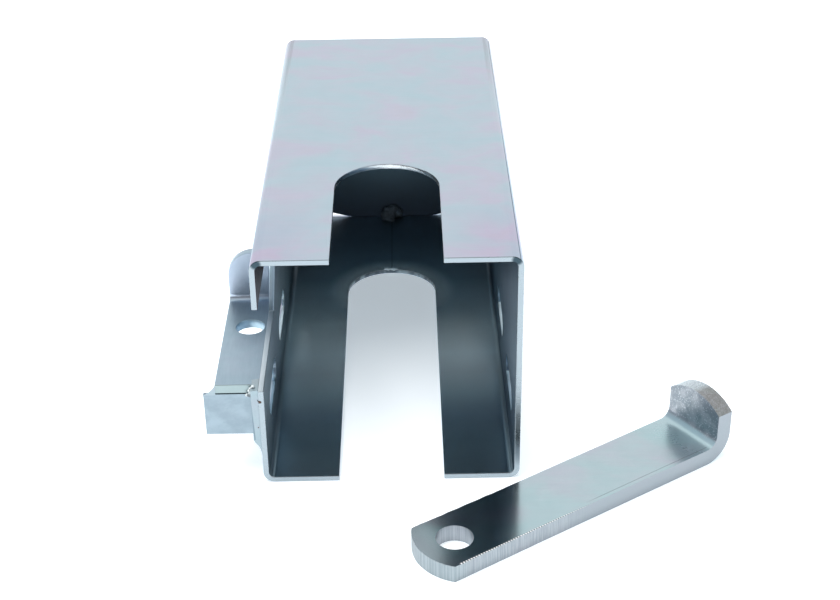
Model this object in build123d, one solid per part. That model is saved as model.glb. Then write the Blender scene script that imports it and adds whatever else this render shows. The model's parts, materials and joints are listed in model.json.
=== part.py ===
from build123d import *
import math
import os

os.makedirs("parts", exist_ok=True)

# Trailer coupler lock: a box that is pushed over the coupling head, and a loose bar that crosses it.
# Origin: middle of the mouth, on the underside. +X right, +Y into the box, +Z up. Millimetres.

# folded box
sheet = 2.6                # sheet thickness, zinc included
boxWidth = 120.0
boxHeight = 117.5
boxDepth = 275.0
bendRadius = 2.6           # inside radius of every fold
flangeDrop = 24.5          # lap flange, measured down from the top face
lapClearance = 0.7         # between the lap flange's lower edge and the left wall
lapTopGap = 0.8            # left wall's top edge below the top plate
notchDepth = 73.5          # the left wall is low from the mouth to here
lowWallHeight = 50.4

# U slots, open at the mouth
topSlotWidth = 49.8
topSlotLength = 98.6
bottomSlotWidth = 49.3
bottomSlotLength = 203.0

# loose bar
barWidth = 33.0
barThickness = 8.4
barOverhang = 38.6         # tip beyond the left wall when the lug is against the right wall
barHoleDiameter = 16.8
barHoleFromTip = 17.6
barEndRadius = 25.5        # arched tip, and arched top of the lug
barBendRadius = 5.5        # inside radius
barLugHeight = 31.2        # over the underside

# bar slots in both side walls
barPlayAlong = 8.0
barPlayHigh = 4.1
barSlotHeight = 25.0       # middle of the slots over the underside
frontBarSlot = 44.5        # middle of the slots behind the mouth
rearBarSlot = 114.0

# bracket on the left wall
strapWidth = 20.3
strapThickness = 4.6
strapStart = 6.6           # behind the mouth
strapLength = 85.0         # to the back face of its lug
strapTop = 50.0            # over the underside
strapBendRadius = 2.6
strapLugRise = 26.0        # over the strap's top face
strapLugCorner = 13.0
padlockHoleDiameter = 14.0
padlockHoleFromWall = 7.9
padlockHoleBehindStart = 52.4
guardThickness = 4.6
guardHeight = 22.4
guardBeyondStrap = 5.6
guardWallGap = 3.5         # filled by the weld
guardLand = 1.4            # beyond the strap, its top is ground away behind this land
guardGrind = 3.0           # depth of that grind at the back

# back plate
backClearance = 0.4        # to the walls and the top
backLand = 51.0            # straight part of its lower edge, in contact with the bottom
backCornerSlope = 15.0     # degrees, rise of the lower edge outside the land

# welds
backWeldRadius = 5.2
edgeBeadLength = 18.0      # beads on the back plate's outside, at its edges
edgeBeadCrown = 1.5
edgeBeadRound = 0.9        # radius along the crown's edges
edgeBeadLap = 1.4          # on to the plate, past the gap
rightBeadHeight = 58.8     # middle of the beads over the underside
leftBeadHeight = 30.2
filletHollow = 0.36        # middle of the guard plate's concave weld, as a share of its legs
wallWeldProud = 5.4        # in front of the guard plate
wallWeldTail = 9.0         # below the guard plate
tailAcross = 0.62          # middle of the tail's outline, as shares of the gap and of the tail
tailDown = 0.4
stitchLeg = 2.4            # stitches under the strap
stitchLength = 23.5
stitchSpare = 4.0          # clear of the guard plate and of the lug's bend
lapWeldLength = 40.0       # bead under the lap flange
lapWeldFromBack = 22.0
lapWeldInset = 0.4         # behind the flange's outer face

# where the bar lies, measured from the box's near right corner
barAngle = 33.9
barHoleLeft = 32.4
barHoleAhead = 55.0

cutterSpare = 2.0          # cutters pass an open face by this much

halfWidth = boxWidth / 2
flangeBottom = boxHeight - flangeDrop
leanSlope = (sheet + lapClearance) / (flangeBottom - lowWallHeight)


def extrudeBack(face, start, end):
    """A face drawn in X and Z, drawn out along +Y from start to end."""
    return Pos(0, start, 0) * extrude(Plane.XZ * face, -(end - start))


def sideSketch(face):
    """A face drawn in Y and Z, on the plane of the left and right walls."""
    return Plane.YZ * face


def leanAt(z):
    """How far the left wall has leant in at height z."""
    return (z - lowWallHeight) * leanSlope


def upperWallFace():
    """The leaning part of the left wall, tucked inside the lap flange."""
    base = lowWallHeight
    top = boxHeight - sheet - lapTopGap
    left = -halfWidth
    return make_face(Polyline(
        (left, base), (left + sheet, base), (left + sheet + leanAt(top), top), (left + leanAt(top), top),
        close=True))


def uSlot(width, length, z):
    """A slot open at the mouth, with a round inner end."""
    straight = length - width / 2
    outline = Pos(0, (straight - cutterSpare) / 2) * Rectangle(width, straight + cutterSpare)
    outline += Pos(0, straight) * Circle(width / 2)
    return extrude(Pos(0, 0, z - sheet) * outline, 3 * sheet)


def barSlot(y):
    """One slot through both side walls."""
    outline = Pos(y, barSlotHeight) * SlotOverall(barWidth + barPlayAlong, barThickness + barPlayHigh)
    return extrude(sideSketch(outline), boxWidth, both=True)


def boxShell():
    outside = bendRadius + sheet
    ring = RectangleRounded(boxWidth, boxHeight, outside)
    ring -= RectangleRounded(boxWidth - 2 * sheet, boxHeight - 2 * sheet, bendRadius)
    gap = Pos(-halfWidth, (lowWallHeight + flangeBottom) / 2 - boxHeight / 2)
    ring -= gap * Rectangle(3 * sheet, flangeBottom - lowWallHeight)
    shell = extrudeBack(Pos(0, boxHeight / 2) * ring, 0, boxDepth)
    shell += extrudeBack(upperWallFace(), notchDepth, boxDepth)
    shell -= uSlot(topSlotWidth, topSlotLength, boxHeight - sheet)
    shell -= uSlot(bottomSlotWidth, bottomSlotLength, 0)
    for y in (frontBarSlot, rearBarSlot):
        shell -= barSlot(y)
    return shell


def backPlate():
    """Fits between the walls; its lower corners are cut away, so light shows on both sides of the seam."""
    inside = RectangleRounded(boxWidth - 2 * (sheet + backClearance),
                              boxHeight - 2 * (sheet + backClearance), bendRadius)
    face = Pos(0, boxHeight / 2) * inside
    landHeight = bendRadius + 2 * backClearance
    face += Pos(0, sheet + landHeight / 2) * Rectangle(backLand, landHeight)
    inner = -halfWidth + sheet + backClearance
    face -= make_face(Polyline(
        (-boxWidth, lowWallHeight), (inner, lowWallHeight), (inner + leanAt(boxHeight), boxHeight),
        (-boxWidth, boxHeight), close=True))
    face -= Pos(0, sheet / 2) * Rectangle(boxWidth, sheet)
    rise = boxWidth * math.tan(math.radians(backCornerSlope))
    for side in (-1, 1):
        near = side * backLand / 2
        far = side * (backLand / 2 + boxWidth)
        corner = Polyline((near, sheet), (far, sheet + rise), (far, -rise), (near, -rise), close=True)
        face -= make_face(corner)
    return extrudeBack(face, boxDepth - sheet, boxDepth)


def backWeld():
    """A lump at the middle of the seam between the back plate and the bottom."""
    lump = Pos(0, boxDepth - sheet, sheet) * Sphere(backWeldRadius)
    room = Pos(0, boxDepth - sheet - backWeldRadius, sheet + backWeldRadius)
    size = 2 * backWeldRadius
    return lump & (room * Box(size, size, size))


def backPlateWelds():
    """Short beads on the outside of the back plate's edges, at the top and at both walls."""
    span = sheet + backClearance + edgeBeadLap
    middle = boxDepth + edgeBeadCrown / 2
    side = halfWidth - span / 2
    top = Pos(0, middle, boxHeight - span / 2) * Box(2 * edgeBeadLength, edgeBeadCrown, span)
    right = Pos(side, middle, rightBeadHeight) * Box(span, edgeBeadCrown, edgeBeadLength)
    left = Pos(-side, middle, leftBeadHeight) * Box(span, edgeBeadCrown, edgeBeadLength)
    beads = []
    for bead in (top, right, left):
        crown = bead.faces().sort_by(Axis.Y)[-1]
        beads.append(fillet(crown.edges(), edgeBeadRound))
    return beads


def bracketStrap():
    back = strapStart + strapLength
    bottom = strapTop - strapThickness
    lugTop = strapTop + strapLugRise
    profile = make_face(Polyline(
        (strapStart, bottom), (back, bottom), (back, lugTop), (back - strapThickness, lugTop),
        (back - strapThickness, strapTop), (strapStart, strapTop), close=True))
    inner = profile.vertices().sort_by_distance((back - strapThickness, strapTop, 0))[0]
    profile = fillet(inner, strapBendRadius)
    outer = profile.vertices().sort_by_distance((back, bottom, 0))[0]
    profile = fillet(outer, strapBendRadius + strapThickness)
    strap = Pos(-halfWidth - strapWidth, 0, 0) * extrude(sideSketch(profile), strapWidth)
    corner = strap.edges().filter_by(Axis.Y).filter_by(
        lambda e: e.center().Z > lugTop - 0.01 and e.center().X < -halfWidth - strapWidth + 0.01)
    strap = fillet(corner, strapLugCorner)
    hole = Pos(-halfWidth - padlockHoleFromWall, strapStart + padlockHoleBehindStart, bottom)
    return strap - hole * Cylinder(padlockHoleDiameter / 2, 4 * strapThickness)


def guardPlate():
    top = strapTop - strapThickness
    width = strapWidth + guardBeyondStrap - guardWallGap
    centre = -halfWidth - guardWallGap - width / 2
    plate = Pos(centre, strapStart + guardThickness / 2, top - guardHeight / 2) * Box(
        width, guardThickness, guardHeight)
    back = strapStart + guardThickness
    grind = make_face(Polyline((strapStart + guardLand, top), (back, top), (back, top - guardGrind),
                               close=True))
    outer = -halfWidth - strapWidth - guardBeyondStrap
    return plate - Pos(outer, 0, 0) * extrude(sideSketch(grind), guardBeyondStrap)


def guardFillet():
    """Concave weld from the strap's top edge down to the guard plate's outer corner."""
    x = -halfWidth - strapWidth
    low = strapTop - strapThickness
    hollow = (x - filletHollow * guardBeyondStrap, low + filletHollow * strapThickness)
    edge = Line((x, strapTop), (x, low)) + Line((x, low), (x - guardBeyondStrap, low))
    edge += ThreePointArc((x - guardBeyondStrap, low), hollow, (x, strapTop))
    return extrudeBack(make_face(edge), strapStart, strapStart + guardLand)


def wallWeld(solids):
    """Fills the gap between the guard plate, the strap's end and the wall, with a tail down the wall."""
    guardBottom = strapTop - strapThickness - guardHeight
    tailEnd = guardBottom - wallWeldTail
    left = -halfWidth - guardWallGap
    tailMiddle = (left + tailAcross * guardWallGap, guardBottom - tailDown * wallWeldTail)
    outline = Line((-halfWidth, lowWallHeight), (left, strapTop))
    outline += Line((left, strapTop), (left, guardBottom))
    outline += Spline((left, guardBottom), tailMiddle, (-halfWidth, tailEnd),
                      tangents=((0.2, -1), (0.15, -1)))
    outline += Line((-halfWidth, tailEnd), (-halfWidth, lowWallHeight))
    bead = extrudeBack(make_face(outline), strapStart - wallWeldProud, strapStart + guardThickness)
    return bead - solids


def strapWeld():
    """Two stitches of fillet weld under the strap, along the wall."""
    low = strapTop - strapThickness
    section = make_face(Polyline((-halfWidth, low), (-halfWidth - stitchLeg, low),
                                 (-halfWidth, low - stitchLeg), close=True))
    first = strapStart + guardThickness + stitchSpare
    last = strapStart + strapLength - strapThickness - strapBendRadius - stitchSpare
    return [extrudeBack(section, first, first + stitchLength),
            extrudeBack(section, last - stitchLength, last)]


def lapWeld():
    """A bead under the lap flange's lower edge, near the back, down on to the left wall."""
    low = flangeBottom - sheet
    wallAtFlange = -halfWidth + leanAt(flangeBottom)
    wallBelow = -halfWidth + leanAt(low)
    section = make_face(Polyline((-halfWidth + lapWeldInset, flangeBottom), (wallAtFlange, flangeBottom),
                                 (wallBelow, low), close=True))
    end = boxDepth - lapWeldFromBack
    return extrudeBack(section, end - lapWeldLength, end)


def lockingBar():
    """Flat bar with its tip at the origin, running along +X, its lug bent up at the far end."""
    reach = boxWidth + barOverhang
    total = reach + barThickness
    profile = make_face(Polyline((0, 0), (total, 0), (total, barLugHeight), (reach, barLugHeight),
                                 (reach, barThickness), (0, barThickness), close=True))
    inner = profile.vertices().sort_by_distance((reach, barThickness, 0))[0]
    profile = fillet(inner, barBendRadius)
    outer = profile.vertices().sort_by_distance((total, 0, 0))[0]
    profile = fillet(outer, barBendRadius + barThickness)
    bar = Pos(0, barWidth / 2, 0) * extrude(Plane.XZ * profile, barWidth)
    tip = Pos(barEndRadius, 0) * Circle(barEndRadius)
    tip += Pos(barEndRadius + total / 2, 0) * Rectangle(total, 2 * barEndRadius)
    bar &= extrude(tip, 2 * barLugHeight)
    crown = Pos(0, barLugHeight - barEndRadius) * Circle(barEndRadius)
    crown += Pos(0, -barEndRadius) * Rectangle(2 * barEndRadius, 2 * barLugHeight)
    bar &= extrude(sideSketch(crown), 2 * total)
    bar -= Pos(barHoleFromTip, 0, 0) * Cylinder(barHoleDiameter / 2, 4 * barThickness)
    place = Pos(halfWidth - barHoleLeft, -barHoleAhead, 0) * Rot(0, 0, barAngle)
    return place * Pos(-barHoleFromTip, 0, 0) * bar


strap = bracketStrap()
guard = guardPlate()
nodes = {
    "box_shell": boxShell(),
    "back_plate": backPlate(),
    "back_weld": backWeld(),
    "back_plate_welds": backPlateWelds(),
    "bracket_strap": strap,
    "guard_plate": guard,
    "guard_fillet": guardFillet(),
    "wall_weld": wallWeld(strap + guard),
    "strap_weld": strapWeld(),
    "lap_weld": lapWeld(),
    "locking_bar": lockingBar(),
}
for name, solid in nodes.items():
    if isinstance(solid, list):
        solid = Compound(children=solid)
    export_step(solid, f"parts/{name}.step")
    print(name, len(solid.solids()), round(solid.volume, 1))
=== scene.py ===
import bpy
import bmesh
import json
import math
import random
from mathutils import Matrix, Vector, noise


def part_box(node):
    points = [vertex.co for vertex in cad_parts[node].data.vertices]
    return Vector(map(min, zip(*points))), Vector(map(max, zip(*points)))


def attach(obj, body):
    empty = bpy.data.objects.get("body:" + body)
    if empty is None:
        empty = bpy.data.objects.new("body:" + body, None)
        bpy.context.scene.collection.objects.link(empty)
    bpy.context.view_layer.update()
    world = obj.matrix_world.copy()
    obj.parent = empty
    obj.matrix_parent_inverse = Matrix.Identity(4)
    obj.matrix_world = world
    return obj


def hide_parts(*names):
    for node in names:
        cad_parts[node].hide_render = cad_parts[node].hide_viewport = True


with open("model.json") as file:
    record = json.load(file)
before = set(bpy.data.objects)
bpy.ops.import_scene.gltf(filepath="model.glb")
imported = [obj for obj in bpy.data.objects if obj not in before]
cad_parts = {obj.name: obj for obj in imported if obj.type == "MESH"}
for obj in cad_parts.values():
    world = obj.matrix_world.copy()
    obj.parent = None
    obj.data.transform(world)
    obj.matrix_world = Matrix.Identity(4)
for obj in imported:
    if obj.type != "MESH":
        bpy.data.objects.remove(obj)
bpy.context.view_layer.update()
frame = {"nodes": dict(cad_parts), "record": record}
node = frame["nodes"]
scene = bpy.context.scene
mm = 0.001
print("frame loaded:", len(node), "nodes")


# shader helpers

class Wire:  # an output socket, so that shader sums read as plain sums
    def __init__(self, shade, socket):
        self.shade = shade
        self.socket = socket

    def math(self, operation, a, b):
        return self.shade.add("Math", {"operation": operation}, {0: a, 1: b})

    def __add__(self, other):
        return self.math("ADD", self, other)

    def __radd__(self, other):
        return self.math("ADD", other, self)

    def __sub__(self, other):
        return self.math("SUBTRACT", self, other)

    def __rsub__(self, other):
        return self.math("SUBTRACT", other, self)

    def __mul__(self, other):
        return self.math("MULTIPLY", self, other)

    def __rmul__(self, other):
        return self.math("MULTIPLY", other, self)

    def __pow__(self, other):
        return self.math("POWER", self, other)

    def __abs__(self):
        return self.math("ABSOLUTE", self, 0.0)

    def __gt__(self, other):
        return self.math("GREATER_THAN", self, other)

    def __lt__(self, other):
        return self.math("LESS_THAN", self, other)


class Shade:  # one node tree, for a finish or for the studio
    def __init__(self, tree):
        self.tree = tree
        tree.nodes.clear()

    def add(self, kind, settings=None, values=None, out=0):
        made = self.tree.nodes.new("ShaderNode" + kind)
        for key, value in (settings or {}).items():
            if key == "stops":
                stops = made.color_ramp.elements
                while len(stops) < len(value):
                    stops.new(0.5)
                for stop, (place, colour) in zip(stops, value):
                    stop.position = place
                    stop.color = (*colour, 1.0)
            else:
                setattr(made, key, value)
        for key, value in (values or {}).items():
            if isinstance(value, Wire):
                self.tree.links.new(value.socket, made.inputs[key])
            else:
                made.inputs[key].default_value = value
        return Wire(self, made.outputs[out] if made.outputs else None)

    def split(self, vector):
        return [self.add("SeparateXYZ", {}, {0: vector}, out) for out in range(3)]

    def smooth(self, value, low, high):  # 0 below low, 1 above high
        limits = {"Value": value, "From Min": low, "From Max": high}
        return self.add("MapRange", {"interpolation_type": "SMOOTHSTEP"}, limits)

    def noise(self, place, scale, stretch=(1, 1, 1), shift=(0, 0, 0), turn=0.0, **values):
        mapped = self.add("Mapping", {}, {"Vector": place, "Scale": stretch, "Location": shift,
                                          "Rotation": (0, 0, turn)})
        return self.add("TexNoise", {}, {"Vector": mapped, "Scale": scale,
                                         **{key.capitalize(): value for key, value in values.items()}})

    def mix(self, factor, a, b):
        colours = [c if isinstance(c, Wire) else (*c, 1.0) for c in (a, b)]
        return self.add("Mix", {"data_type": "RGBA"}, {0: factor, 6: colours[0], 7: colours[1]}, 2)

    def tint(self, factor, colour, film):  # colour times film, by factor
        film = film if isinstance(film, Wire) else (*film, 1.0)
        return self.add("Mix", {"data_type": "RGBA", "blend_type": "MULTIPLY"},
                        {0: factor, 6: colour, 7: film}, 2)

    def ramp(self, stops, value):
        return self.add("ValToRGB", {"stops": stops}, {"Fac": value})


def newMaterial(name):
    material = bpy.data.materials.new(name)
    material.use_nodes = True
    return material, Shade(material.node_tree)


# zinc: a metal with a thin film whose tint drifts, drawn grain and clouded gloss

def zinc(name, spec, extra=None):
    material, shade = newMaterial(name)
    place = shade.add("TexCoord", out=3)
    facing = shade.split(shade.add("TexCoord", out=1))
    at = shade.split(place)
    drift = shade.noise(place, spec["filmScale"], spec["filmStretch"], (3.1, 1.7, 0.4), spec["turn"],
                        detail=4.0, roughness=0.55, distortion=0.5)
    film = shade.ramp(spec["film"], drift)
    film = shade.mix(spec["filmMix"], (1.0, 1.0, 1.0), film)
    cloud = shade.noise(place, spec["cloudScale"], (1, 1, 1), (0.5, 0.9, 0.2), detail=3.0, roughness=0.6)
    grain = shade.noise(place, spec["grainScale"], spec["grainStretch"], (0, 0, 0), spec["turn"],
                        detail=2.0, roughness=0.7)
    speck = shade.noise(place, spec["speckScale"], detail=2.0, roughness=0.5)
    shadeOfGrain = 0.5 + (grain - 0.5) * spec["grainContrast"] + (cloud - 0.5) * spec["cloudContrast"]
    colour = shade.mix(shade.smooth(shadeOfGrain, 0.0, 1.0), spec["dark"], spec["light"])
    colour = shade.tint(1.0, film, colour)
    gloss = spec["roughness"] + (cloud - 0.5) * spec["glossDrift"] + (grain - 0.5) * spec["glossGrain"]
    height = grain * spec["grainHeight"] + speck * spec["speckHeight"]
    look = {"colour": colour, "gloss": gloss, "height": height, "metal": spec["metal"]}
    if extra:
        extra(shade, look, place, at, facing)
    bump = shade.add("Bump", {}, {"Height": look["height"], "Distance": 1.0, "Strength": 1.0})
    skin = shade.add("BsdfPrincipled", {}, {"Base Color": look["colour"], "Roughness": look["gloss"],
                                            "Metallic": look["metal"], "Normal": bump})
    shade.add("OutputMaterial", {}, {"Surface": skin})
    return material


baseZinc = {
    "film": [(0.32, (0.87, 1.02, 1.01)), (0.45, (0.94, 1.01, 1.01)), (0.54, (1.00, 0.98, 1.00)),
             (0.63, (1.06, 0.93, 1.00)), (0.71, (1.07, 0.92, 0.97)), (0.80, (1.05, 1.00, 0.91))],
    "filmScale": 42.0, "filmStretch": (0.75, 1.0, 1.0), "filmMix": 0.8, "turn": 0.0,
    "dark": (0.475, 0.555, 0.635), "light": (0.555, 0.635, 0.715),
    "cloudScale": 100.0, "grainScale": 900.0, "grainStretch": (0.05, 1.0, 1.0), "speckScale": 1400.0,
    "grainContrast": 0.35, "cloudContrast": 0.5,
    "roughness": 0.33, "glossDrift": 0.10, "glossGrain": 0.06, "metal": 1.0,
    "grainHeight": 0.010 * mm, "speckHeight": 0.012 * mm,
}

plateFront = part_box("back_plate")[0].y
pits = {"spots": [((-59.5, 44.7), (1.05, 0.75)), ((-60.9, 30.0), (0.35, 0.35))], "front": 2 * mm,
        "rim": (0.5, 1.1), "colour": (0.10, 0.07, 0.06), "depth": 0.3 * mm}


def addPits(shade, look, at):  # gas pits in the weld metal beside the left wall's front edge, dented by the bump and darkened with painted shade
    for centre, half in pits["spots"]:
        dx = (at[0] - centre[0] * mm) * (1.0 / (half[0] * mm))
        dz = (at[2] - centre[1] * mm) * (1.0 / (half[1] * mm))
        pit = (1.0 - shade.smooth(dx * dx + dz * dz, *pits["rim"])) * (at[1] < pits["front"])
        # painted shade inside each pit
        look["colour"] = shade.mix(pit, look["colour"], pits["colour"])
        look["height"] = look["height"] - pit * pits["depth"]


sheetZinc = dict(baseZinc, **{
    "mouthEdge": 0.35 * mm, "mouthColour": (0.36, 0.42, 0.46), "cutGloss": 0.28,
    # cut faces: painted reflection, darker to the left and lighter to the right
    "cutSpan": (-24 * mm, 6 * mm), "cutLeftShade": (0.36, 0.44, 0.50), "cutRightHighlight": (0.66, 0.70, 0.72),
    "topFace": 114.9 * mm, "slotHalf": 26.0 * mm, "slotEnd": 99.5 * mm,
    "bendAt": (56.9 * mm, 115.7 * mm), "bendRadius": 3.0 * mm, "bendCore": 0.45,
    # painted shade at the core of each fold's end at the mouth
    "pinchShadeColour": (0.05, 0.08, 0.10),
    "innerSide": 58.7 * mm, "innerFloor": 1.3 * mm, "innerTop": 116.2 * mm, "lean": 0.0763,
    "lowWall": 50.4 * mm, "length": 280 * mm, "dullGloss": 0.04,
    # inside tones by depth: painted shade, partly the zinc's own darker tone, and painted light on the floor
    # and back plate
    "wallShadeTones": [(0.0, (0.34, 0.43, 0.49)), (0.08, (0.36, 0.46, 0.53)), (0.24, (0.29, 0.37, 0.45)),
                  (0.43, (0.40, 0.51, 0.57)), (0.57, (0.62, 0.78, 0.84)), (0.68, (0.42, 0.52, 0.57)),
                  (0.88, (0.16, 0.21, 0.25))],
    "rightFrom": 50 * mm, "rightWallShade": (0.45, 0.52, 0.60),
    "floorLightShadeTones": [(0.0, (0.22, 0.31, 0.37)), (0.10, (0.29, 0.42, 0.50)), (0.18, (0.43, 0.57, 0.67)),
                   (0.25, (0.49, 0.65, 0.72)), (0.32, (0.56, 0.69, 0.75)), (0.39, (0.74, 0.90, 0.96)),
                   (0.50, (0.86, 0.98, 1.0)), (0.60, (0.48, 0.56, 0.60)), (0.68, (0.26, 0.33, 0.38)),
                   (0.86, (0.17, 0.22, 0.26))],
    "plateLightShadeTones": [(0.0, (0.13, 0.15, 0.19)), (0.12, (0.12, 0.18, 0.22)), (0.20, (0.38, 0.50, 0.55)),
                   (0.27, (0.85, 0.93, 0.97))],
    "floorHigh": 20 * mm, "floorFacing": (0.3, 0.9), "plateMargin": 0.5 * mm,
    "litFloor": (45 * mm, 118 * mm, 140 * mm, 178 * mm), "litMetal": 0.55, "litGloss": 0.18,
    "litSide": (38 * mm, 56 * mm), "litSideLoss": 0.5,
    "arc": (178.3 * mm, 24.6 * mm), "arcFloor": 3 * mm,
    # painted light: a pale halo round the lower slot's arc
    "halo": 13.0 * mm, "haloBack": 20 * mm, "haloPaintedLight": (0.80, 0.86, 0.86), "haloMix": 0.95,
    "haloDull": 0.85,
    "rimBack": 10 * mm, "rimWidth": 0.8 * mm, "rimHigh": 2.6 * mm, "rimScale": 170.0, "rimPatch": (0.4, 0.65),
    "rimDark": (0.13, 0.16, 0.19), "rimLight": (0.42, 0.50, 0.54),
    "scribe": 0.3 * mm, "scribeSpan": (204 * mm, 271 * mm), "scribeColour": (0.05, 0.06, 0.07),
    "scribeMix": 0.5,
    # painted highlight on the low wall's top edge
    "wallTop": (49.8 * mm, 51.0 * mm, -56.5 * mm), "wallTopFacing": (0.4, 0.7), "wallTopMix": 0.85,
    "wallTopHighlight": (0.74, 0.84, 0.89), "flapGap": 58.6 * mm, "flapFacing": 0.5,
    # painted shade on the flange's inner side
    "flapShade": (0.11, 0.085, 0.105),
    # painted shade: upright faces darker than the top
    "uprightFacing": (0.25, 0.5), "uprightShade": (0.80, 0.79, 0.80),
    "cornerSpan": (20 * mm, 75 * mm), "cornerSide": (20 * mm, 50 * mm), "cornerTint": (1.0, 0.91, 0.965),
})


def sheetExtra(shade, look, place, at, facing):
    spec = sheetZinc
    x, y, z = at

    # cut edges at the mouth and in the top slot, and the paler top beside them, with painted shade darkening
    # every upright face
    mouth = y < spec["mouthEdge"]
    upright = 1.0 - shade.smooth(abs(facing[2]), *spec["uprightFacing"])
    inSlot = (abs(x) < spec["slotHalf"]) * (y < spec["slotEnd"]) * (z > spec["topFace"])
    cut = shade.smooth(mouth + inSlot * upright, 0.0, 1.0)
    nearMouth = (1.0 - shade.smooth(y, *spec["cornerSpan"])) * shade.smooth(abs(x), *spec["cornerSide"])
    nearMouth = nearMouth * (z > spec["topFace"])
    look["colour"] = shade.tint(upright, look["colour"], spec["uprightShade"])
    look["colour"] = shade.tint(nearMouth, look["colour"], spec["cornerTint"])

    # inside of the box: painted shade that deepens towards the back, partly the zinc's own darker tone there,
    # with painted light on a stretch of the floor and the upper back plate; the left wall leans in behind the
    # flange
    lean = (z > spec["lowWall"]) * (z - spec["lowWall"]) * spec["lean"]
    inside = (x > lean - spec["innerSide"]) * (x < spec["innerSide"])
    inside = inside * (z > spec["innerFloor"]) * (z < spec["innerTop"]) * (1.0 - cut)
    inside = inside * (y < plateFront + spec["plateMargin"])
    deep = y * (1.0 / spec["length"])
    onFloor = shade.smooth(facing[2], *spec["floorFacing"]) * (z < spec["floorHigh"])
    onPlate = y > plateFront - spec["plateMargin"]
    wallShade = shade.ramp(spec["wallShadeTones"], deep)
    floorLightShade = shade.ramp(spec["floorLightShadeTones"], deep)
    plateLightShade = shade.ramp(spec["plateLightShadeTones"], z * (1.0 / spec["length"]))
    rightWall = (x > spec["rightFrom"]) * (1.0 - onFloor)
    wallShade = shade.tint(rightWall, wallShade, spec["rightWallShade"])
    inner = shade.mix(onFloor, wallShade, floorLightShade)
    inner = shade.mix(onPlate, inner, plateLightShade)

    # bright halo round the lower slot's arc, which is painted light, the scribed centre line, and the lit
    # stretch of floor
    arcMiddle, arcRadius = spec["arc"]
    behind = y - arcMiddle
    fromArc = (x * x + behind * behind) ** 0.5 - arcRadius
    halo = 1.0 - shade.smooth(fromArc, 0.0, spec["halo"])
    halo = halo * (y > arcMiddle - spec["haloBack"]) * (z < spec["arcFloor"])
    inner = shade.mix(halo * spec["haloMix"], inner, spec["haloPaintedLight"])
    scribe = (abs(x) < spec["scribe"]) * (y > spec["scribeSpan"][0]) * (y < spec["scribeSpan"][1])
    scribe = scribe * (z < spec["arcFloor"])
    inner = shade.mix(scribe * spec["scribeMix"], inner, spec["scribeColour"])
    fade = shade.smooth(y, *spec["litFloor"][:2]) * (1.0 - shade.smooth(y, *spec["litFloor"][2:]))
    lit = fade * onFloor * inside * (1.0 - spec["litSideLoss"] * shade.smooth(abs(x), *spec["litSide"]))
    look["metal"] = 1.0 - lit * (1.0 - spec["litMetal"]) - halo * inside * spec["haloDull"]

    # folds seen end on at the mouth, each darkened at its core with painted shade in place of a pinched bend
    # end
    across = abs(x) - spec["bendAt"][0]
    up = z - spec["bendAt"][1]
    reach = across * across + up * up
    core = spec["bendCore"] * spec["bendRadius"]
    pinchShade = mouth * (1.0 - shade.smooth(reach, core ** 2, spec["bendRadius"] ** 2))
    # painted reflection on the cut faces: darker to the left, a highlight to the right
    cutShadeAndHighlight = shade.mix(shade.smooth(x, *spec["cutSpan"]), spec["cutLeftShade"], spec["cutRightHighlight"])
    colour = shade.mix(cut, look["colour"], cutShadeAndHighlight)
    colour = shade.mix(mouth, colour, spec["mouthColour"])
    colour = shade.mix(inside, colour, inner)

    # rough rim of the arc, the low wall's top edge with a painted highlight, and the flange's inner side in
    # painted shade
    rimMark = shade.noise(place, spec["rimScale"], (1.0, 1.0, 0.3), (0.3, 0.1, 0.0), detail=2.0)
    rimTone = shade.mix(shade.smooth(rimMark, *spec["rimPatch"]), spec["rimDark"], spec["rimLight"])
    rim = upright * (z < spec["rimHigh"]) * (fromArc < spec["rimWidth"]) * (y > arcMiddle - spec["rimBack"])
    colour = shade.mix(rim, colour, rimTone)
    # painted highlight: the low wall's upward top edge made pale
    wallTop = (z > spec["wallTop"][0]) * (z < spec["wallTop"][1]) * (x < spec["wallTop"][2])
    wallTop = wallTop * shade.smooth(facing[2], *spec["wallTopFacing"])
    colour = shade.mix(wallTop * spec["wallTopMix"], colour, spec["wallTopHighlight"])
    # painted shade: the flange's inner side made nearly black
    flap = (facing[0] > spec["flapFacing"]) * (x < lean - spec["flapGap"])
    colour = shade.mix(flap, colour, spec["flapShade"])
    # painted shade at the fold ends
    look["colour"] = shade.mix(pinchShade, colour, spec["pinchShadeColour"])
    addPits(shade, look, at)
    look["gloss"] = (look["gloss"] + cut * (spec["cutGloss"] - spec["roughness"]) + inside * spec["dullGloss"]
                     + lit * spec["litGloss"])


bracketZinc = dict(baseZinc, **{
    "dark": (0.345, 0.46, 0.55), "light": (0.475, 0.59, 0.68), "filmScale": 40.0, "filmMix": 0.3,
    "grainStretch": (1.0, 0.08, 1.0), "grainScale": 700.0, "grainContrast": 0.5, "cloudContrast": 0.7,
    "cloudScale": 90.0,
    "roughness": 0.37, "grainHeight": 0.02 * mm,
    "front": 6.95 * mm, "seamAt": 45.4 * mm, "seamHalf": 0.38 * mm, "seamColour": (0.05, 0.07, 0.08),
    "faceDark": (0.23, 0.29, 0.33), "faceLight": (0.31, 0.38, 0.43), "faceCloud": 130.0,
    "facePatch": (0.3, 0.7), "faceMix": 0.85, "bandColour": (0.34, 0.42, 0.42), "bandMix": 0.8,
    # painted light: the lug's front face made paler
    "lugFrom": 70 * mm, "lugFacing": -0.7, "lugFaceLight": (0.62, 0.70, 0.84), "lugMix": 0.7,
})


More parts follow.
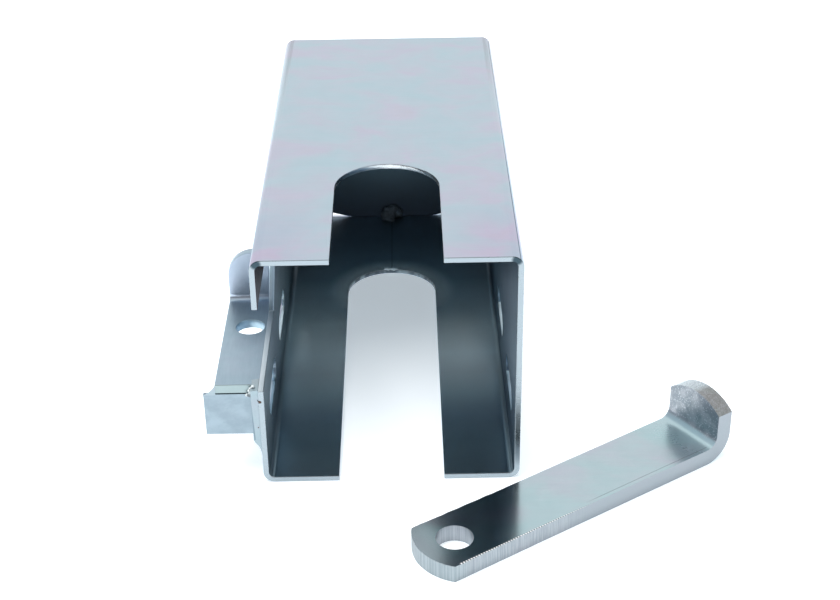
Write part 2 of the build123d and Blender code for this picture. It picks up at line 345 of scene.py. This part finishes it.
def bracketExtra(shade, look, place, at, facing):
    spec = bracketZinc
    front = at[1] < spec["front"]
    band = front * (at[2] > spec["seamAt"])
    seam = front * (abs(at[2] - spec["seamAt"]) < spec["seamHalf"])
    cloud = shade.noise(place, spec["faceCloud"], (0.7, 1.0, 1.0), (0.2, 0.0, 0.6), detail=4.0, roughness=0.6)
    face = shade.mix(shade.smooth(cloud, *spec["facePatch"]), spec["faceDark"], spec["faceLight"])
    colour = shade.mix(front * spec["faceMix"], look["colour"], face)
    colour = shade.mix(band * spec["bandMix"], colour, spec["bandColour"])
    # painted light: the lug's front face made paler
    lug = (at[1] > spec["lugFrom"]) * (facing[1] < spec["lugFacing"])
    colour = shade.mix(lug * spec["lugMix"], colour, spec["lugFaceLight"])
    look["colour"] = shade.mix(seam, colour, spec["seamColour"])


barZinc = dict(baseZinc, **{
    "turn": math.radians(-33.9), "filmStretch": (0.6, 1.0, 1.0), "filmScale": 38.0,
    "dark": (0.445, 0.55, 0.595), "light": (0.52, 0.63, 0.675), "filmMix": 0.75,
    "grainStretch": (0.03, 1.0, 1.0), "grainScale": 800.0, "roughness": 0.165, "glossDrift": 0.06,
    "glossGrain": 0.03, "grainHeight": 0.003 * mm, "speckHeight": 0.003 * mm,
    "hole": (27.6 * mm, -55.0 * mm), "angle": math.radians(33.9), "topFace": 8.6 * mm, "crown": 17.5 * mm,
    "sideFacing": (0.3, 0.6), "sideColour": (0.28, 0.30, 0.33), "sideMix": 0.85, "sideGloss": 0.36,
    "edgeFacing": (0.9, 0.985),
    "shearEnd": (40 * mm, 68 * mm), "shearPitch": 1.1 * mm, "shearHeight": 0.05 * mm,
    # rib stripes: partly the shear marks' own streaks, partly painted glints and shade
    "ribRange": (0.40, 0.60), "ribShadeTone": (0.17, 0.19, 0.21), "ribGlintTone": (0.66, 0.68, 0.72),
    "ribOnSide": 0.17, "ribOnEdge": 0.9, "ribInHole": 0.12, "ribOnCrown": 0.4,
    "endFrom": (-8 * mm, -2 * mm), "endColour": (0.30, 0.36, 0.385),
    "tipFrom": (-15 * mm, -3 * mm), "tipColour": (0.30, 0.36, 0.40), "tipMix": 0.8,
    "holeReach": 8.0 * mm, "holeColour": (0.29, 0.355, 0.325), "holeMix": 0.8,
    "lineAt": -14.2 * mm, "lineHalf": 0.16 * mm, "lineSpan": (62 * mm, 148 * mm), "lineFade": 10 * mm,
    "lineFacing": 0.9, "lineColour": (0.16, 0.18, 0.20), "lineMix": 0.6,
    "lugRise": (1 * mm, 4 * mm), "lugFacing": (0.6, 0.9), "lugDark": (0.52, 0.54, 0.57), "lugMix": 0.75,
    "patchScale": 150.0, "patchRange": (0.42, 0.62),
    "foldFrom": 148 * mm, "foldLength": 30 * mm, "foldLow": 0.5 * mm, "foldUnderCrown": 3 * mm,
    # painted shade at the fold
    "foldFacing": (0.7, 0.95), "foldShade": (0.52, 0.56, 0.57), "foldMix": 0.55,
    "fleckScale": 1250.0, "fleckRange": (0.60, 0.66), "fleckSpread": 0.04,
    "fleckColour": (0.85, 0.88, 0.92), "fleckMix": 0.5,
    "toothPitch": 1.35 * mm, "toothRange": (0.0, 0.6), "toothStrip": (-15.7 * mm, 8.2 * mm),
    "toothFrom": -9 * mm,
    # painted glints and shade for the teeth
    "toothShadeTone": (0.06, 0.07, 0.08), "toothGlintTone": (1.0, 1.0, 1.0), "toothMix": 0.9, "toothDull": 0.85,
    "wobbleScale": 120.0, "wobble": 2.5,
    "dullFrom": (118 * mm, 150 * mm), "dull": 0.35, "softFrom": (62 * mm, 150 * mm), "softGloss": 0.13,
    # the crown's near half: partly bare steel, partly a painted dark reflection
    "crownFacing": (0.45, 0.6), "crownEnd": (0.3, 0.6), "bareAndReflectionFrom": (3.0 * mm, -3.0 * mm),
    "bareAndReflectionColour": (0.155, 0.15, 0.135), "bareAndReflectionMix": (0.45, 0.5), "streakScale": 900.0,
})


def barExtra(shade, look, place, at, facing):
    spec = barZinc
    height = at[2]
    side = 1.0 - shade.smooth(abs(facing[2]), *spec["sideFacing"])
    face = 1.0 - side
    edge = (1.0 - shade.smooth(abs(facing[2]), *spec["edgeFacing"])) * face
    c, s = math.cos(spec["angle"]), math.sin(spec["angle"])
    along = (at[0] - spec["hole"][0]) * c + (at[1] - spec["hole"][1]) * s
    across = (at[1] - spec["hole"][1]) * c - (at[0] - spec["hole"][0]) * s
    toTip = facing[0] * -c + facing[1] * -s
    end = abs(toTip)

    # ribs of the sheared sides, tip and hole: stripes that are partly the shear marks' own streaks and partly
    # painted glints and shade on their ridges
    comb = shade.noise(place, 1.0 / spec["shearPitch"], (2.0, 2.0, 0.02), detail=2.0, roughness=0.6)
    shear = 1.0 - shade.smooth(along, *spec["shearEnd"])
    rib = shade.smooth(comb, *spec["ribRange"])
    ribStreakAndGlint = shade.mix(rib, spec["ribShadeTone"], spec["ribGlintTone"])
    colour = shade.mix(side * spec["sideMix"], look["colour"], spec["sideColour"])
    tip = 1.0 - shade.smooth(along, *spec["endFrom"])
    colour = shade.mix(side * tip * spec["tipMix"], colour, spec["endColour"])
    tip = (1.0 - shade.smooth(along, *spec["tipFrom"])) * face
    colour = shade.mix(tip * spec["tipMix"], colour, spec["tipColour"])
    colour = shade.mix(side * shear * spec["ribOnSide"], colour, ribStreakAndGlint)
    # painted glints: rib stripes laid strongly on the top edge's bevel
    colour = shade.mix(edge * shear * spec["ribOnEdge"], colour, ribStreakAndGlint)
    fromHole = (along * along + across * across) ** 0.5
    inHole = side * (fromHole < spec["holeReach"])
    bore = shade.mix(rib * spec["ribInHole"], spec["holeColour"], spec["ribGlintTone"])
    colour = shade.mix(inHole * spec["holeMix"], colour, bore)

    # scribed line along the top face
    line = (abs(across - spec["lineAt"]) < spec["lineHalf"]) * (height < spec["topFace"])
    line = line * (facing[2] > spec["lineFacing"]) * (along < spec["lineSpan"][1])
    line = line * shade.smooth(along, spec["lineSpan"][0], spec["lineSpan"][0] + spec["lineFade"])
    colour = shade.mix(line * spec["lineMix"], colour, spec["lineColour"])

    # fold, darkened with painted shade, and the lug's inner face with its dark patches and flecks
    lug = shade.smooth(height, *[spec["topFace"] + rise for rise in spec["lugRise"]])
    inner = lug * shade.smooth(toTip, *spec["lugFacing"])
    fold = (along > spec["foldFrom"]) * (along < spec["foldFrom"] + spec["foldLength"]) * face
    fold = fold * (height > spec["topFace"] - spec["foldLow"])
    fold = fold * (height < spec["crown"] - spec["foldUnderCrown"])
    fold = fold * (1.0 - shade.smooth(end, *spec["foldFacing"]))
    colour = shade.mix(fold * spec["foldMix"], colour, spec["foldShade"])
    patch = shade.noise(place, spec["patchScale"], (1.0, 1.0, 1.0), (0.4, 0.2, 0.1), detail=3.0)
    patch = inner * shade.smooth(patch, *spec["patchRange"]) * spec["lugMix"]
    colour = shade.mix(patch, colour, spec["lugDark"])
    fleck = shade.noise(place, spec["fleckScale"], (1.0, 1.0, 1.0), (0.7, 0.3, 0.2), detail=1.0)
    flecks = spec["fleckSpread"] + (1.0 - spec["fleckSpread"]) * inner
    flecks = shade.smooth(fleck, *spec["fleckRange"]) * flecks
    colour = shade.mix(flecks * spec["fleckMix"], colour, spec["fleckColour"])

    # teeth along the near top edge, drawn as painted glints and shade: alternating white and dark dots, with
    # the metal dulled on that strip so the white shows
    wobble = shade.noise(place, spec["wobbleScale"], detail=1.0) * spec["wobble"]
    wave = shade.add("Math", {"operation": "SINE"}, {0: along * (2 * math.pi / spec["toothPitch"]) + wobble})
    toothGlintsAndShade = shade.mix(shade.smooth(wave, *spec["toothRange"]), spec["toothShadeTone"], spec["toothGlintTone"])
    strip = (across < spec["toothStrip"][0]) * (height > spec["toothStrip"][1]) * shear
    strip = strip * (along > spec["toothFrom"])
    colour = shade.mix(strip * spec["toothMix"], colour, toothGlintsAndShade)
    dull = shade.smooth(along, *spec["dullFrom"]) * face * spec["dull"]
    look["metal"] = 1.0 - strip * spec["toothDull"] - dull

    # crown of the lug, darker brown-grey on its near half: partly bare steel, partly a painted dark
    # reflection
    near = 1.0 - shade.smooth(across, spec["bareAndReflectionFrom"][1], spec["bareAndReflectionFrom"][0])
    onCrown = (height > spec["crown"]) * shade.smooth(facing[2], *spec["crownFacing"])
    onCrown = onCrown * (1.0 - shade.smooth(end, *spec["crownEnd"]))
    colour = shade.mix(onCrown * spec["ribOnCrown"], colour, ribStreakAndGlint)
    streak = shade.noise(place, spec["streakScale"], (1.0, 1.0, 0.2), detail=2.0)
    bareAndReflection = spec["bareAndReflectionMix"][0] + spec["bareAndReflectionMix"][1] * streak
    look["colour"] = shade.mix(onCrown * near * bareAndReflection, colour, spec["bareAndReflectionColour"])

    soft = shade.smooth(along, *spec["softFrom"]) * face
    look["gloss"] = look["gloss"] + side * (spec["sideGloss"] - spec["roughness"]) + soft * spec["softGloss"]
    look["height"] = look["height"] + comb * side * shear * spec["shearHeight"]


weldZinc = dict(baseZinc, **{
    "dark": (0.32, 0.39, 0.44), "light": (0.40, 0.48, 0.52),
    "filmMix": 0.3, "cloudScale": 260.0, "filmScale": 120.0,
    "grainStretch": (1.0, 1.0, 1.0), "grainScale": 1500.0, "roughness": 0.36, "glossDrift": 0.2,
    "grainHeight": 0.02 * mm, "speckHeight": 0.02 * mm, "cloudContrast": 0.6, "metal": 0.75,
    "joint": (-63.8, 42.0, 0.047), "jointHalf": (0.15 * mm, 0.6 * mm), "jointSpan": (23 * mm, 44 * mm),
    "jointFront": 4 * mm, "jointColour": (0.12, 0.18, 0.23), "jointMix": 0.65,
    # painted shade on the weld deep in the back of the box
    "back": 200 * mm, "backHalf": 20 * mm, "backHigh": 30 * mm,
    "backWeldShade": (0.165, 0.185, 0.21), "backMix": 0.85, "backGloss": 0.25, "backDull": 0.35,
})


def weldExtra(shade, look, place, at, facing):
    spec = weldZinc
    addPits(shade, look, at)
    joinX, joinZ, slope = spec["joint"]
    gap = abs(at[0] - joinX * mm + (at[2] - joinZ * mm) * slope)
    joint = (1.0 - shade.smooth(gap, *spec["jointHalf"])) * (at[1] < spec["jointFront"])
    joint = joint * (at[2] > spec["jointSpan"][0]) * (at[2] < spec["jointSpan"][1])
    look["colour"] = shade.mix(joint * spec["jointMix"], look["colour"], spec["jointColour"])
    # painted shade: the back weld, deep in the box, darker, and rougher with less metal
    within = (at[1] > spec["back"]) * (abs(at[0]) < spec["backHalf"]) * (at[2] < spec["backHigh"])
    look["colour"] = shade.mix(within * spec["backMix"], look["colour"], spec["backWeldShade"])
    look["gloss"] = look["gloss"] + within * spec["backGloss"]
    look["metal"] = spec["metal"] - within * spec["backDull"]


spatterZinc = dict(weldZinc, dark=(0.07, 0.09, 0.11), light=(0.88, 0.93, 0.95), roughness=0.3,
                   cloudScale=520.0, cloudContrast=2.6, metal=0.15)
# painted glint: the burr near white, with little metal
burrGlintZinc = dict(weldZinc, dark=(0.55, 0.68, 0.72), light=(0.95, 1.0, 1.0), roughness=0.3, metal=0.15)

finish = {
    "sheet_zinc": zinc("sheetZinc", sheetZinc, sheetExtra),
    "bracket_zinc": zinc("bracketZinc", bracketZinc, bracketExtra),
    "weld_zinc": zinc("weldZinc", weldZinc, weldExtra),
    "bar_zinc": zinc("barZinc", barZinc, barExtra),
}
looseFinish = {"spatter": zinc("spatterZinc", spatterZinc), "burr": zinc("burrGlintZinc", burrGlintZinc)}
print("finishes made:", len(finish) + len(looseFinish))


# carried-over nodes: merged, planes made whole, edges rounded

rounding = {"box_shell": 0.30, "back_plate": 0.30, "bracket_strap": 0.45, "guard_plate": 0.35,
            "wall_weld": 0.30}
edging = {"segments": 2, "angle": math.radians(35), "flatWeight": 60}
tolerance = {"merge": 0.001 * mm, "flat": math.radians(0.5), "onCut": 0.002 * mm}


def roundEdges(thing, width):
    edge = thing.modifiers.new("edge", "BEVEL")
    edge.width = width * mm
    edge.segments = edging["segments"]
    edge.limit_method = "ANGLE"
    edge.angle_limit = edging["angle"]
    edge.harden_normals = True


def evenShading(thing, sharp):  # flats stay flat beside their rounded edges
    thing.data.shade_smooth()
    thing.data.set_sharp_from_angle(angle=math.radians(sharp))
    weighted = thing.modifiers.new("flats", "WEIGHTED_NORMAL")
    weighted.mode = "FACE_AREA"
    weighted.weight = edging["flatWeight"]
    weighted.keep_sharp = True


slotOf = {row["node"]: row["material_slot"] for row in frame["record"]["subparts"]}
for name, thing in node.items():
    thing.data.materials.clear()
    thing.data.materials.append(finish[slotOf[name]])
    if name in rounding:
        weld = thing.modifiers.new("merge", "WELD")
        weld.merge_threshold = tolerance["merge"]
        whole = thing.modifiers.new("whole", "DECIMATE")
        whole.decimate_type = "DISSOLVE"
        whole.angle_limit = tolerance["flat"]
        roundEdges(thing, rounding[name])
print("edges rounded:", len(rounding))


def addPiece(name, shape, finishName, body):
    mesh = bpy.data.meshes.new(name)
    shape.to_mesh(mesh)
    shape.free()
    mesh.shade_smooth()
    mesh.materials.append(finish[finishName])
    piece = bpy.data.objects.new(name, mesh)
    scene.collection.objects.link(piece)
    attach(piece, body)
    return piece


# locking bar: a copy of the solid whose sheared edges get their teeth

teeth = {"hole": (27.6, -55.0), "angle": 33.9, "halfWidth": 16.5, "thick": 8.4,
         "sidePitch": 0.55, "sideFrom": -11.0, "sideTo": 62.0, "fade": 30.0, "depth": 0.16,
         "tipPitch": 0.45, "tipHalf": 16.2, "tipDepth": 0.11,
         "crownPitch": 0.6, "crownFrom": -14.0, "crownTo": 12.0, "crownDepth": 0.10, "crownHeight": 16.0,
         "swing": (0.35, 1.3), "sideLow": 0.35, "tipLow": 0.5, "sideLand": 0.1, "tipFrom": -8.0,
         "rounding": 0.32, "sharp": 24.0}


def toothedBar():
    spec = teeth
    rng = random.Random(3)
    shape = bmesh.new()
    shape.from_mesh(node["locking_bar"].data)
    bmesh.ops.remove_doubles(shape, verts=shape.verts, dist=tolerance["merge"])
    bmesh.ops.dissolve_limit(shape, angle_limit=tolerance["flat"], verts=shape.verts, edges=shape.edges)
    home = (Matrix.Translation((spec["hole"][0] * mm, spec["hole"][1] * mm, 0))
            @ Matrix.Rotation(math.radians(spec["angle"]), 4, "Z"))
    bmesh.ops.transform(shape, matrix=home.inverted(), verts=shape.verts)
    shape.normal_update()

    def row(wanted, axis, start, stop, pitch, push):  # cut the wanted faces, then push the cuts in and out
        count = int((stop - start) / pitch)
        for i in range(count + 1):
            at = (start + i * pitch) * mm
            faces = [f for f in shape.faces if wanted(f)]
            edges = list({e for f in faces for e in f.edges})
            corners = list({v for f in faces for v in f.verts})
            normal = Vector((1, 0, 0)) if axis == 0 else Vector((0, 1, 0))
            cut = bmesh.ops.bisect_plane(shape, geom=faces + edges + corners, dist=tolerance["onCut"],
                                         plane_co=normal * at, plane_no=normal)
            swing = (1 if i % 2 else -1) * rng.uniform(*spec["swing"])
            for v in cut["geom_cut"]:
                if isinstance(v, bmesh.types.BMVert):
                    push(v, swing, at / mm)

    def pushSide(v, swing, at):
        fade = min(1.0, max(0.0, (spec["sideTo"] - at) / (spec["sideTo"] - spec["fade"])))
        high = spec["sideLow"] + (1 - spec["sideLow"]) * v.co.z / (spec["thick"] * mm)
        v.co.y += math.copysign(swing * spec["depth"] * fade * high * mm, v.co.y * swing)

    def pushTip(v, swing, at):
        high = spec["tipLow"] + (1 - spec["tipLow"]) * v.co.z / (spec["thick"] * mm)
        v.co.x -= swing * spec["tipDepth"] * high * mm

    def pushCrown(v, swing, at):
        v.co.z += swing * spec["crownDepth"] * mm

    edgeOn = (spec["halfWidth"] - spec["sideLand"]) * mm

    def onSide(f):
        return abs(f.normal.y) > 0.9 and abs(f.calc_center_median().y) > edgeOn

    def onTip(f):
        return f.normal.x < -0.3 and abs(f.normal.z) < 0.1 and f.calc_center_median().x < spec["tipFrom"] * mm

    def onCrown(f):
        return f.normal.z > 0.3 and f.calc_center_median().z > spec["crownHeight"] * mm

    row(onSide, 0, spec["sideFrom"], spec["sideTo"], spec["sidePitch"], pushSide)
    row(onTip, 1, -spec["tipHalf"], spec["tipHalf"], spec["tipPitch"], pushTip)
    row(onCrown, 1, spec["crownFrom"], spec["crownTo"], spec["crownPitch"], pushCrown)
    bmesh.ops.transform(shape, matrix=home, verts=shape.verts)
    return shape


bar = addPiece("lockingBar", toothedBar(), "bar_zinc", "bar")
roundEdges(bar, teeth["rounding"])
evenShading(bar, teeth["sharp"])
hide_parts("locking_bar")
print("locking bar made:", len(bar.data.polygons), "faces")


# corner weld: a hollow ramp from the strap's top edge to the guard plate's outer corner

corner = {"strapSide": -80.2, "reach": 5.8, "front": 6.5, "length": 1.5, "low": 45.2, "high": 49.8,
          "hollow": 1.9, "fall": 0.5, "least": 0.02, "taper": 0.15, "skirt": 0.5, "steps": 12, "sharp": 40.0}
shape = bmesh.new()
bmesh.ops.create_grid(shape, x_segments=corner["steps"], y_segments=corner["steps"], size=0.5)
for v in shape.verts:
    out, back = v.co.x + 0.5, v.co.y + 0.5
    top = corner["low"] + (corner["high"] - corner["low"]) * (1 - out) ** corner["hollow"]
    top = max(corner["low"] + corner["least"], top - corner["fall"] * back * corner["length"])
    reach = corner["reach"] * out * (1 - corner["taper"] * back)
    v.co = Vector((corner["strapSide"] - reach, corner["front"] + back * corner["length"], top)) * mm
skirt = bmesh.ops.extrude_face_region(shape, geom=list(shape.faces))
for v in skirt["geom"]:
    if isinstance(v, bmesh.types.BMVert):
        v.co.z = (corner["low"] - corner["skirt"]) * mm
bmesh.ops.recalc_face_normals(shape, faces=shape.faces)
cornerWeld = addPiece("cornerWeld", shape, "weld_zinc", "box")
evenShading(cornerWeld, corner["sharp"])
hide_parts("guard_fillet")


# welds

def lumpySkin(name, lumps, spec, material=finish["weld_zinc"]):  # balls run together into one rough skin
    shape = bmesh.new()
    for centre, radii in lumps:
        place = Matrix.Translation(Vector(centre) * mm) @ Matrix.Diagonal((*[r * mm for r in radii], 1.0))
        bmesh.ops.create_icosphere(shape, subdivisions=3, radius=1.0, matrix=place)
    mesh = bpy.data.meshes.new(name)
    shape.to_mesh(mesh)
    shape.free()
    piece = bpy.data.objects.new(name, mesh)
    scene.collection.objects.link(piece)
    skin = piece.modifiers.new("skin", "REMESH")
    skin.mode = "VOXEL"
    skin.voxel_size = spec["voxel"] * mm
    skin.use_smooth_shade = True
    soften = piece.modifiers.new("soften", "SMOOTH")
    soften.iterations = spec["soften"]
    bpy.context.view_layer.update()
    whole = bpy.data.meshes.new_from_object(piece.evaluated_get(bpy.context.evaluated_depsgraph_get()))
    piece.modifiers.clear()
    piece.data = whole
    for vertex in whole.vertices:
        push = noise.noise(vertex.co / (spec["lump"] * mm)) * spec["push"] * mm
        vertex.co = vertex.co + vertex.normal * push
    whole.shade_smooth()
    whole.materials.append(material)
    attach(piece, "box")
    return piece


rng = random.Random(7)
beadSkin = {"voxel": 0.3, "soften": 3, "lump": 1.6, "push": 0.35, "wander": 0.25, "size": (0.88, 1.1)}


def bead(start, end, width, height, count):  # ripples in a row along a seam
    lumps = []
    wander = beadSkin["wander"]
    for i in range(count):
        t = i / (count - 1)
        middle = [a + (b - a) * t + rng.uniform(-wander, wander) for a, b in zip(start, end)]
        size = rng.uniform(*beadSkin["size"])
        lumps.append((middle, [width * size, height * size, width * size]))
    return lumps


backLump = {"seam": (0.2, 271.6, 3.4), "spread": 4.6, "rise": 5.0, "forward": 2.2, "balls": 10,
            "ball": (1.9, 2.9), "flat": 0.8, "soften": 6,
            "lumps": [((0.6, 271.4, 6.4), (4.2, 3.0, 4.4)), ((-2.4, 269.6, 3.0), (4.0, 3.6, 2.4)),
                      ((3.6, 271.2, 5.6), (3.4, 2.4, 2.8)), ((-0.6, 268.0, 2.6), (2.8, 3.4, 1.6))]}
lumps = list(backLump["lumps"])
for i in range(backLump["balls"]):
    x, y, z = backLump["seam"]
    r = rng.uniform(*backLump["ball"])
    lumps.append(((x + rng.uniform(-1, 1) * backLump["spread"], y - rng.uniform(0, backLump["forward"]),
                   z + rng.uniform(0, backLump["rise"])), (r, r * backLump["flat"], r)))
backWeld = lumpySkin("backWeldSkin", lumps, dict(beadSkin, soften=backLump["soften"]))
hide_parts("back_weld")

seams = {  # each bead's ends, half its width, half its height, and its ripples
    "edge": [((-17, 275.0, 114.6), (17, 275.0, 114.6), 2.0, 1.3, 15),
             ((58.4, 275.0, 50.5), (58.4, 275.0, 67.0), 1.9, 1.3, 9),
             ((-58.4, 275.0, 22.0), (-58.4, 275.0, 38.5), 1.9, 1.3, 9)],
    "stitch": [((-60.8, 16.0, 44.8), (-60.8, 38.0, 44.8), 1.9, 1.5, 14),
               ((-60.8, 58.0, 44.8), (-60.8, 80.0, 44.8), 1.9, 1.5, 14)],
    "lap": [((-58.6, 214.0, 92.2), (-58.6, 252.0, 92.2), 1.6, 1.5, 22)],
}


def ripples(runs):
    return [ripple for run in runs for ripple in bead(*run)]


edgeWeld = lumpySkin("edgeWeldSkin", ripples(seams["edge"]), beadSkin)
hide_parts("back_plate_welds")
stitchWeld = lumpySkin("stitchWeldSkin", ripples(seams["stitch"]), beadSkin)
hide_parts("strap_weld")
lapWeld = lumpySkin("lapWeldSkin", ripples(seams["lap"]), beadSkin)
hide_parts("lap_weld")

# spatter and the torn end of the wall weld, at the strap's front corner
spatterSpec = {"corner": (-62.5, 4.2, 48.0), "spread": (2.2, 1.7, 3.4), "scatter": 0.5, "count": 34,
               "ball": (0.45, 1.2), "flat": 0.8, "skin": dict(beadSkin, voxel=0.22, soften=1, push=0.2)}
spots = []
for i in range(spatterSpec["count"]):
    centre = [c + rng.gauss(0, spatterSpec["scatter"]) * s
              for c, s in zip(spatterSpec["corner"], spatterSpec["spread"])]
    r = rng.uniform(*spatterSpec["ball"])
    spots.append((centre, (r, r, r * spatterSpec["flat"])))
lumpySkin("weldSpatter", spots, spatterSpec["skin"], looseFinish["spatter"])

# burr left at the crown of the lower slot, near white with little metal as a painted glint
burrSpec = {"row": [(-3.6, 1.1), (-2.4, 1.5), (-1.0, 1.1), (0.2, 1.3), (1.5, 1.6), (2.5, 1.0)],
            "y": 203.1, "z": 3.0, "wander": 0.3, "deep": 1.0, "flat": 0.75,
            "skin": dict(beadSkin, voxel=0.22, soften=1, push=0.25)}
drops = []
for x, r in burrSpec["row"]:
    y = burrSpec["y"] + rng.uniform(-burrSpec["wander"], burrSpec["wander"])
    drops.append(((x, y, burrSpec["z"]), (r, burrSpec["deep"], r * burrSpec["flat"])))
lumpySkin("slotBurr", drops, burrSpec["skin"], looseFinish["burr"])
print("welds made")


# floor, light and camera

studio = {"floorSize": 4.0, "floorColour": (0.78, 0.80, 0.81), "floorGlow": (0.40, 0.445, 0.48),
          "front": 0.12, "back": 1.0, "backdrop": 1.05, "cardAcross": (-0.65, -0.35), "cardUp": (0.05, 0.25)}

shape = bmesh.new()
bmesh.ops.create_grid(shape, x_segments=8, y_segments=8, size=studio["floorSize"])
floorMesh = bpy.data.meshes.new("floor")
shape.to_mesh(floorMesh)
shape.free()
floor = bpy.data.objects.new("floor", floorMesh)
scene.collection.objects.link(floor)
floorMaterial, shade = newMaterial("floorPaint")
paint = shade.add("BsdfPrincipled", {}, {
    "Base Color": (*studio["floorColour"], 1.0), "Roughness": 0.9, "Specular IOR Level": 0.0,
    "Emission Color": (*studio["floorGlow"], 1.0), "Emission Strength": 1.0})
shade.add("OutputMaterial", {}, {"Surface": paint})
floorMesh.materials.append(floorMaterial)

world = bpy.data.worlds.new("studio")
world.use_nodes = True
scene.world = world
shade = Shade(world.node_tree)
way = shade.split(shade.add("TexCoord", out=0))
darkCard = (1.0 - shade.smooth(way[1], *studio["cardAcross"])) * shade.smooth(way[2], *studio["cardUp"])
level = studio["back"] + darkCard * (studio["front"] - studio["back"])
seen = shade.add("LightPath", out=0)
level = level * (1.0 - seen) + seen * studio["backdrop"]
sky = shade.add("Background", {}, {"Color": (1.0, 1.0, 1.0, 1.0), "Strength": level})
shade.add("OutputWorld", {}, {"Surface": sky})

lamp = {"at": (-0.35, 0.0, 1.6), "towards": (0, 0.1, 0), "size": 1.2, "power": 26.0}
light = bpy.data.lights.new("softbox", "AREA")
light.size = lamp["size"]
light.energy = lamp["power"]
softbox = bpy.data.objects.new("softbox", light)
scene.collection.objects.link(softbox)
softbox.location = lamp["at"]
softbox.visible_glossy = False  # it would burn out the flat tops seen from above
shine = Vector(lamp["towards"]) - Vector(lamp["at"])
softbox.rotation_euler = shine.to_track_quat("-Z", "Y").to_euler()

lens = {"at": (0.009223, -0.599759, 0.436775), "down": 29.547, "right": 0.489, "roll": 0.771,
        "length": 67.18, "sensor": 36.0}
cameraData = bpy.data.cameras.new("camera")
cameraData.lens = lens["length"]
cameraData.sensor_width = lens["sensor"]
cameraData.clip_start = 0.01
camera = bpy.data.objects.new("camera", cameraData)
scene.collection.objects.link(camera)
camera.matrix_world = (Matrix.Translation(lens["at"])
                       @ Matrix.Rotation(math.radians(-lens["right"]), 4, "Z")
                       @ Matrix.Rotation(math.radians(90 - lens["down"]), 4, "X")
                       @ Matrix.Rotation(math.radians(-lens["roll"]), 4, "Z"))
scene.camera = camera
scene.view_settings.view_transform = "Standard"
print("stage and camera made")
